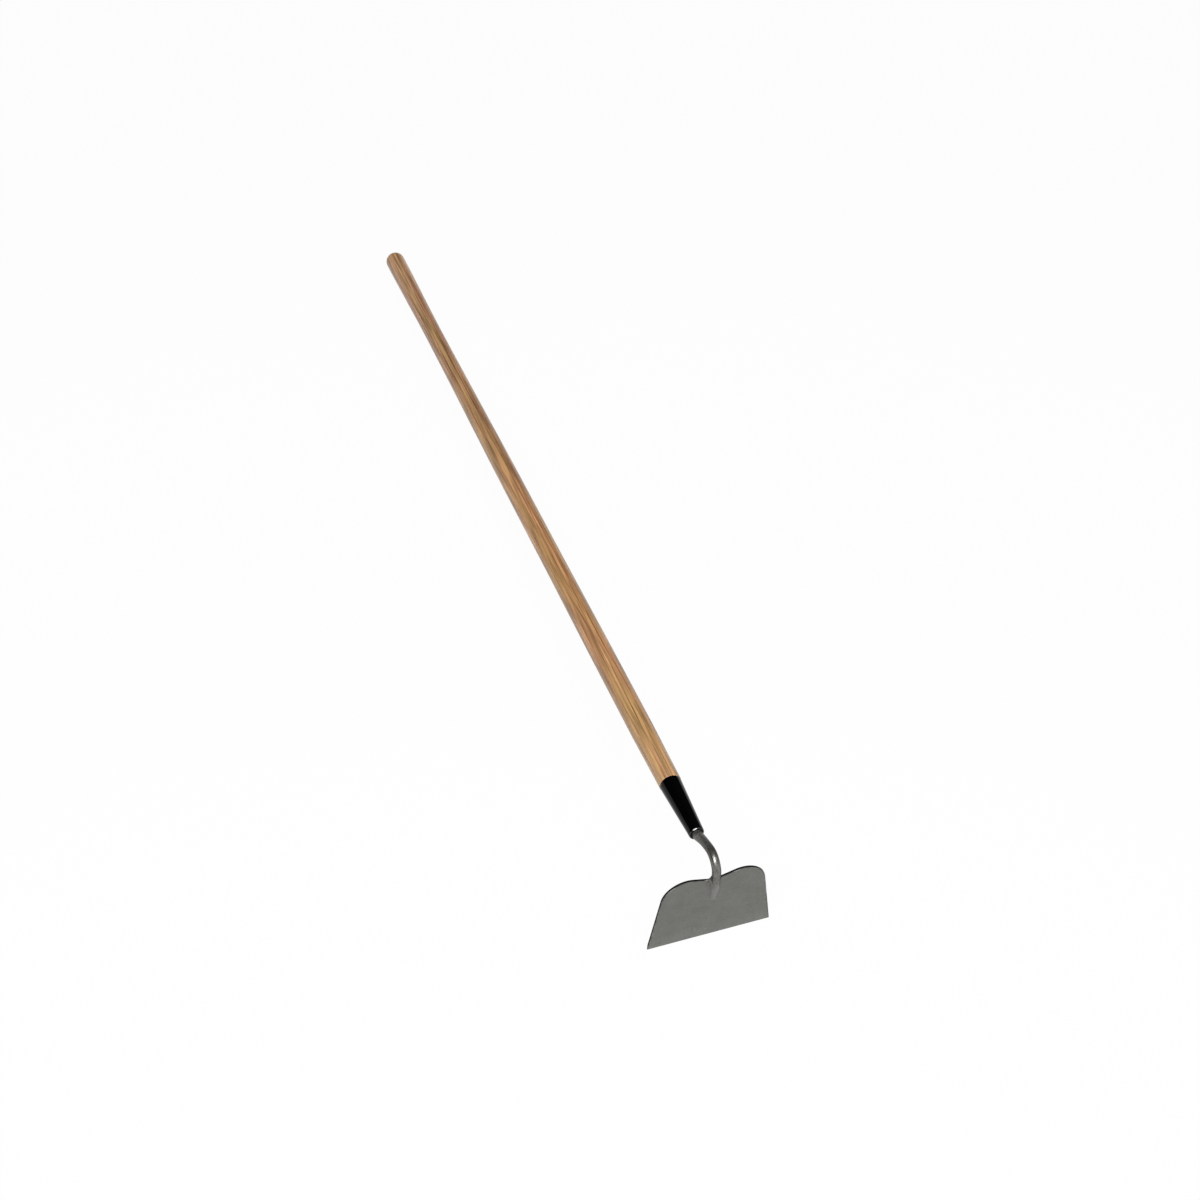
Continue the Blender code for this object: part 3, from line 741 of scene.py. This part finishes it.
def tang_rings():
    heading = pi - POLE_TILT
    rings = []
    steps = 30
    start = elbow_start()
    for i in range(steps + 1):
        height = TANG_LENGTH + (start - TANG_LENGTH) * i / steps
        half = BAR_ROOT_RADIUS + (TANG_TIP_HALF - BAR_ROOT_RADIUS) * height / TANG_LENGTH
        squareness = ease(2, TANG_SQUARENESS, height / TANG_SQUARE_RUNOUT)
        point = NOSE + POLE_DIRECTION * height
        rings.append(ring(point, heading, 0, half, half, half, squareness))
    return rings


def bend_centre():
    return Vector((BEND_RADIUS - DROP_STANDOFF, 0, CROWN_HEIGHT - BEND_RADIUS))


def rise_centre():
    """The centre of the rise's circle, which runs through the elbow and into the bend's circle."""
    elbow = NOSE - POLE_DIRECTION * ELBOW_OUT
    to_bend = bend_centre() - elbow
    apart = to_bend.length
    along = (RISE_RADIUS**2 - (RISE_RADIUS - BEND_RADIUS) ** 2 + apart**2) / (2 * apart)
    direction = to_bend / apart
    below = Vector((-direction.z, 0, direction.x))
    return elbow + direction * along + below * sqrt(RISE_RADIUS**2 - along**2)


def heading_over(centre, point):
    """The heading of a bar that bends over the centre, where it passes the point."""
    away = point - centre
    return atan2(away.x, -away.z) % (2 * pi)


def elbow_start():
    """How far inside the ferrule's nose the bar starts to turn up, to meet the rise without a corner."""
    up = outward(pi - POLE_TILT)
    offset = rise_centre() - NOSE - up * ELBOW_RADIUS
    apart = RISE_RADIUS + ELBOW_RADIUS
    return offset.dot(POLE_DIRECTION) + sqrt(apart**2 - offset.dot(up) ** 2)


def bent_path(centre, radius, start, end):
    """Points and headings along a bend, after its first point."""
    steps = round(abs(radius * (end - start)) / RING_STEP)
    headings = [start + (end - start) * i / steps for i in range(1, steps + 1)]
    return [(centre + outward(heading) * radius, heading) for heading in headings]


def swan_path():
    """The elbow at the ferrule, the rise and the bend down to the blade."""
    start = pi - POLE_TILT
    elbow_centre = NOSE + POLE_DIRECTION * elbow_start() + outward(start) * ELBOW_RADIUS
    rise = heading_over(rise_centre(), elbow_centre)
    bend = heading_over(rise_centre(), bend_centre())
    path = bent_path(elbow_centre, -ELBOW_RADIUS, start, rise)
    path += bent_path(rise_centre(), RISE_RADIUS, rise, bend)
    return path + bent_path(bend_centre(), BEND_RADIUS, bend, 1.5 * pi)


def swan_rings():
    rings = []
    for point, heading in swan_path():
        radius = ease(BAR_ROOT_RADIUS, BAR_RADIUS, (point - NOSE).length / BAR_ROOT_RUNOUT)
        rings.append(ring(point, heading, 0, radius, radius, radius, 2))
    return rings


def toe_half_width(share):
    if share < TOE_WIDEST_AT:
        return ease(BAR_RADIUS, TOE_HALF_WIDTH, share / TOE_WIDEST_AT)
    taper = (share - TOE_WIDEST_AT) / (1 - TOE_WIDEST_AT)
    return ease(TOE_HALF_WIDTH, TOE_END_HALF_WIDTH, taper)


def toe_crest(share):
    """How far the toe's crest stands out from the blade's outer face."""
    start = DROP_STANDOFF + BAR_RADIUS
    return start + (TOE_END_CREST - start) * share


def toe_squareness(share):
    return ease(2, TOE_SQUARENESS, share / TOE_WIDEST_AT)


def toe_share(height):
    """How far down the toe a height is, from 0 at the dip to 1 at its tip."""
    return min(max((DIP_HEIGHT - height) / TOE_LENGTH, 0), 1)


def drop_rings():
    """The bar falls to the blade, loses its back there, and its front runs out down the face."""
    heading = 1.5 * pi
    top = bend_centre().z
    rings = []
    steps = round((top - TOE_TIP) / RING_STEP)
    for i in range(1, steps + 1):
        height = top + (TOE_TIP - top) * i / steps
        share = toe_share(height)
        into_blade = min(max((DIP_HEIGHT + TOE_SHOULDER - height) / TOE_SHOULDER, 0), 1)
        left = height - TOE_TIP
        rounding = sqrt(max(1 - max(1 - left / TOE_END_ROUND, 0) ** 2, LEAST_ROUND))
        chord = -DROP_STANDOFF * into_blade
        crest = toe_crest(share) - DROP_STANDOFF - chord
        front = crest * (sqrt(rounding) if share > 0 else 1)
        back = ease(BAR_RADIUS, 0, into_blade)
        half_width = toe_half_width(share) * rounding
        point = Vector((-DROP_STANDOFF, 0, height))
        rings.append(ring(point, heading, chord, front, back, half_width, toe_squareness(share)))
    return rings


def neck_mesh():
    return lofted_mesh("neck", tang_rings() + swan_rings() + drop_rings())


# Blade: outline points are (across, height above the cutting edge)


def lobe_centre():
    """The centre of the circle that touches both the top slope and the flared side."""
    side = Vector((cos(SIDE_FLARE), sin(SIDE_FLARE)))
    top = Vector((-sin(TOP_SLOPE), cos(TOP_SLOPE)))
    side_distance = side.x * BLADE_WIDTH / 2 - LOBE_RADIUS
    top_distance = top.y * DIP_HEIGHT - LOBE_RADIUS
    spread = side.x * top.y - side.y * top.x
    across = (side_distance * top.y - top_distance * side.y) / spread
    height = (side.x * top_distance - top.x * side_distance) / spread
    return across, height


def blade_outline(inset):
    """Closed outline, drawn in by the inset everywhere but along the cutting edge."""
    dip_centre = (0, DIP_HEIGHT + DIP_ROUND / cos(TOP_SLOPE))
    dip = arc(dip_centre, DIP_ROUND + inset, -pi / 2, -pi / 2 + TOP_SLOPE, 6)
    lobe = arc(lobe_centre(), LOBE_RADIUS - inset, pi / 2 + TOP_SLOPE, SIDE_FLARE, 48)
    corner = (BLADE_WIDTH / 2 - inset / cos(SIDE_FLARE), 0)
    half = dip + lobe + [corner]
    return half + [(-across, height) for across, height in reversed(half[1:])]


def grind_normal():
    """Square to the ground bevel, out of the steel."""
    return Vector((GRIND_HEIGHT, 0, -(BLADE_THICKNESS - EDGE_THICKNESS))).normalized()


def blade_mesh():
    """The plate with its sheared edges slightly rounded and the bevel ground on its inner side."""
    edge = BLADE_EDGE_ROUND
    turns = [pi / 2 * i / 4 for i in range(5)]
    near = [(0, PAINTED_RIM_WIDTH)]
    near += [(edge * (1 - sin(turn)), edge * (1 - cos(turn))) for turn in reversed(turns)]
    sections = near + [(BLADE_THICKNESS - depth, inset) for depth, inset in reversed(near)]
    rings = []
    for depth, inset in sections:
        rings.append([(depth, across, height) for across, height in blade_outline(inset)])
    work = bmesh.new()
    join_rings(work, rings)
    cut = bmesh.ops.bisect_plane(
        work,
        geom=work.verts[:] + work.edges[:] + work.faces[:],
        plane_co=(EDGE_THICKNESS, 0, 0),
        plane_no=grind_normal(),
        clear_outer=True,
    )
    rim = [item for item in cut["geom_cut"] if isinstance(item, bmesh.types.BMEdge)]
    bmesh.ops.edgenet_fill(work, edges=rim)
    return finished_mesh(work, "blade", 30)


def paint_blade_edges(mesh, sheared, ground, painted_rim):
    """After the plain steel: the sheared edge all round, the ground bevel and the rim of each face.

    The two large faces have many corners, and the rim round each is made of quads.
    """
    for material in (sheared, ground, painted_rim):
        mesh.materials.append(material)
    for face in mesh.polygons:
        if face.normal.dot(grind_normal()) > BEVEL_LIKENESS:
            face.material_index = 2
        elif abs(face.normal.x) < EDGE_LIKENESS:
            face.material_index = 1
        # The rim of each face gets the material with painted shade and painted highlights.
        elif len(face.vertices) == 4:
            face.material_index = 3


# Welds: the corner beside the toe, and the web between the neck and the blade's top edge


def top_edge(across):
    """Height of the blade's top edge, away from the rounded dip."""
    return DIP_HEIGHT + abs(across) * tan(TOP_SLOPE)


def fillet(start, corner, end, fullness, steps):
    """Points on a curve that leaves one leg of a corner and runs out along the other."""
    pull = corner.lerp((start + end) / 2, fullness)
    shares = [i / steps for i in range(steps + 1)]
    return [start * (1 - t) ** 2 + pull * 2 * t * (1 - t) + end * t * t for t in shares]


def flank_rings(side, top_width):
    """A fillet down the side of the toe, from its flank out onto the blade's face."""
    rings = []
    steps = 60
    highest = top_edge(TOE_HALF_WIDTH)
    lowest = TOE_TIP + TOE_END_ROUND / 2
    for i in range(steps + 1):
        height = highest + (lowest - highest) * i / steps
        share = toe_share(height)
        half_width = toe_half_width(share)
        crest = toe_crest(share)
        width = top_width * (1 + (WELD_END_SHARE - 1) * (i / steps) ** 2)
        leg = min(WELD_CLIMB * width, WELD_CLIMB_LIMIT * crest) / crest
        squareness = toe_squareness(share)
        start = Vector((crest * leg, half_width * (1 - leg**squareness) ** (1 / squareness)))
        corner = Vector((0, half_width))
        end = Vector((0, half_width + width))
        points = fillet(start, corner, end, WELD_FULLNESS, 8)
        inside = start.y - WELD_SINK
        points += [Vector((-WELD_SINK, end.y)), Vector((-WELD_SINK, inside)), Vector((start.x, inside))]
        rings.append([Vector((-point.x, side * point.y, height)) for point in points])
    return rings


def web_rings(side, radius):
    """The gusset in the corner between the bar and the blade's top edge, as slices through X."""
    reach = radius / tan((pi / 2 - TOP_SLOPE) / 2)
    front = -DROP_STANDOFF
    back = BAR_RADIUS - DROP_STANDOFF - WEB_BACK_GAP
    steps = 12
    rings = []
    for i in range(steps + 1):
        depth = front + (back - front) * i / steps
        swell = reach * sqrt(max(1 - (2 * i / steps - 1) ** 2, LEAST_ROUND))
        swell *= 1 - WEB_TAPER * max(depth / front, 0)
        bar_side = sqrt(max(BAR_RADIUS**2 - (depth + DROP_STANDOFF) ** 2, 0))
        corner = Vector((bar_side, top_edge(bar_side)))
        end = corner + Vector((cos(TOP_SLOPE), sin(TOP_SLOPE))) * swell
        start = corner + Vector((0, swell))
        inside = bar_side - WELD_SINK
        outline = [Vector((inside, corner.y - WELD_SINK)), Vector((inside, start.y))]
        outline += fillet(start, corner, end, WEB_FULLNESS, 10)
        outline.append(Vector((end.x, end.y - WELD_SINK)))
        rings.append([Vector((depth, side * point.x, point.y)) for point in outline])
    return rings


def weld_mesh(name, side, width, web_radius):
    """The two shapes melted into one by a voxel remesh, smoothed, with a grainy surface."""
    joined = bmesh.new()
    for rings in (flank_rings(side, width), web_rings(side, web_radius)):
        joined.from_mesh(lofted_mesh("shape", rings))
    mesh = bpy.data.meshes.new(name)
    joined.to_mesh(mesh)
    joined.free()
    blank = bpy.data.objects.new(name, mesh)
    bpy.context.scene.collection.objects.link(blank)
    remesh = blank.modifiers.new("melt", "REMESH")
    remesh.mode = "VOXEL"
    remesh.voxel_size = WELD_VOXEL
    relax = blank.modifiers.new("relax", "SMOOTH")
    relax.factor = 0.5
    relax.iterations = WELD_SMOOTHINGS
    graph = bpy.context.evaluated_depsgraph_get()
    mesh = bpy.data.meshes.new_from_object(blank.evaluated_get(graph))
    bpy.data.objects.remove(blank)
    for vertex in mesh.vertices:
        grain = sum(share * noise.noise(vertex.co / size) for size, share in WELD_GRAIN_SIZES)
        vertex.co += vertex.normal * grain * WELD_GRAIN
    mesh.shade_smooth()
    return mesh


def add_head():
    steel = forged_material()
    weld = weld_material()
    add_piece("forged_neck", neck_mesh(), steel, ["neck"], HEAD_PLACE)
    plate = blade_mesh()
    plain = blade_material("plate_steel", False)
    add_piece("plate_blade", plate, plain, ["blade"], HEAD_PLACE)
    sheared = sheared_edge_material()
    ground = ground_edge_material()
    # The rim's material carries painted shade and painted highlights.
    paint_blade_edges(plate, sheared, ground, blade_material("rim_painted_shade_and_glints", True))
    left = weld_mesh("weld_left", 1, WELD_WIDTH_LEFT, WEB_RADIUS_LEFT)
    right = weld_mesh("weld_right", -1, WELD_WIDTH_RIGHT, WEB_RADIUS_RIGHT)
    add_piece("weld_left", left, weld, ["weld_bead_left"], HEAD_PLACE)
    add_piece("weld_right", right, weld, ["weld_bead_right"], HEAD_PLACE)


# Studio


FLOOR_HALF = 30.0
FLOOR_GAP = 0.0002
WALL_HEIGHT = 2.5  # round the floor, so that low views end in white too
FLOOR_COLOUR = (0.65, 0.65, 0.65)
FLOOR_GLOW = 0.96  # share of plain white that the floor shows, over its own shading
BRIGHT_SIDE = Vector((-0.875, -0.235, 0.42))  # the studio is bright behind the camera
KEY_DIRECTION = Vector((-0.40, 0.20, 0.87))
SPARK_DIRECTION = Vector((-0.476, 0.232, 0.848))
KEY_DISTANCE = 2.6
KEY_SIZE = (2.4, 0.7)
KEY_POWER = 58
SPARK_SIZE = (2.4, 0.15)
SPARK_POWER = 28
SPARK_DISTANCE = 2.5
STRIP_ALONG = Vector((-0.18, 1, 0))  # the long side of both lamps


def add_floor():
    """A wide floor with a low wall round it. The camera and mirrors see it nearly white."""
    mesh = bpy.data.meshes.new("floor")
    work = bmesh.new()
    bmesh.ops.create_grid(work, x_segments=1, y_segments=1, size=FLOOR_HALF)
    wall = bmesh.ops.extrude_edge_only(work, edges=work.edges[:])["geom"]
    raised = [item for item in wall if isinstance(item, bmesh.types.BMVert)]
    bmesh.ops.translate(work, verts=raised, vec=(0, 0, WALL_HEIGHT))
    work.to_mesh(mesh)
    work.free()
    floor = bpy.data.objects.new("floor", mesh)
    bpy.context.scene.collection.objects.link(floor)
    floor.location.z = -FLOOR_GAP
    material = bpy.data.materials.new("pale_floor")
    material.use_nodes = True
    tree = material.node_tree
    tree.nodes.remove(tree.nodes["Principled BSDF"])
    matt = node(tree, "ShaderNodeBsdfDiffuse", {"Color": (*FLOOR_COLOUR, 1)})
    white = node(tree, "ShaderNodeEmission", {"Color": (1, 1, 1, 1), "Strength": 1.0})
    path = tree.nodes.new("ShaderNodeLightPath").outputs
    seen = maths(tree, "ADD", path["Is Camera Ray"], path["Is Glossy Ray"])
    seen = maths(tree, "ADD", seen, path["Is Transmission Ray"], clamp=True)
    share = maths(tree, "MULTIPLY", seen, FLOOR_GLOW)
    both = node(tree, "ShaderNodeMixShader", {0: share, 1: matt.outputs[0], 2: white.outputs[0]})
    tree.links.new(both.outputs[0], tree.nodes["Material Output"].inputs["Surface"])
    mesh.materials.append(material)


def add_world():
    """A soft gradient from the bright side of the studio to the dark one."""
    world = bpy.data.worlds.new("studio")
    bpy.context.scene.world = world
    world.use_nodes = True
    tree = world.node_tree
    direction = tree.nodes.new("ShaderNodeTexCoord").outputs["Generated"]
    bright = tuple(BRIGHT_SIDE.normalized())
    towards = node(tree, "ShaderNodeVectorMath", {0: direction, 1: bright}, operation="DOT_PRODUCT")
    share = maths(tree, "MULTIPLY_ADD", towards.outputs["Value"], 0.5, 0.5)
    shade = ramp(tree, share, ((0.36, 0.03), (0.62, 0.25), (0.78, 0.60), (0.92, 0.90)))
    tree.links.new(shade, tree.nodes["Background"].inputs["Color"])
    tree.nodes["Background"].inputs["Strength"].default_value = 1.0


def add_softbox(name, direction, distance, size, power):
    """A strip of light that faces the ferrule's nose."""
    data = bpy.data.lights.new(name, "AREA")
    data.shape = "RECTANGLE"
    data.size, data.size_y = size
    data.energy = power
    lamp = bpy.data.objects.new(name, data)
    bpy.context.scene.collection.objects.link(lamp)
    head = Vector((BLADE_FACE + NOSE_REACH, 0, NOSE_HEIGHT))
    lamp.location = head + direction.normalized() * distance
    ahead = direction.normalized()
    along = (STRIP_ALONG - ahead * ahead.dot(STRIP_ALONG)).normalized()
    lamp.rotation_euler = Matrix((along, ahead.cross(along), ahead)).transposed().to_euler()


def add_lamps():
    add_softbox("key", KEY_DIRECTION, KEY_DISTANCE, KEY_SIZE, KEY_POWER)
    add_softbox("spark", SPARK_DIRECTION, SPARK_DISTANCE, SPARK_SIZE, SPARK_POWER)


def add_camera():
    data = bpy.data.cameras.new("camera")
    data.lens = CAMERA_LENS_MM
    camera = bpy.data.objects.new("camera", data)
    bpy.context.scene.collection.objects.link(camera)
    level = Vector((cos(CAMERA_HEADING), sin(CAMERA_HEADING), 0))
    forward = level * cos(CAMERA_PITCH) + Vector((0, 0, sin(CAMERA_PITCH)))
    plain_right = forward.cross(Vector((0, 0, 1))).normalized()
    plain_up = plain_right.cross(forward)
    up = plain_up * cos(CAMERA_ROLL) - plain_right * sin(CAMERA_ROLL)
    right = forward.cross(up)
    turn = Matrix((right, up, -forward)).transposed().to_4x4()
    place = Vector((BLADE_FACE - CAMERA_BEHIND_BLADE, CAMERA_SIDE, CAMERA_HEIGHT))
    camera.matrix_world = Matrix.Translation(place) @ turn
    bpy.context.scene.camera = camera


bpy.context.scene.view_settings.view_transform = "Standard"
add_camera()
add_floor()
add_world()
add_lamps()
add_pole()
add_head()
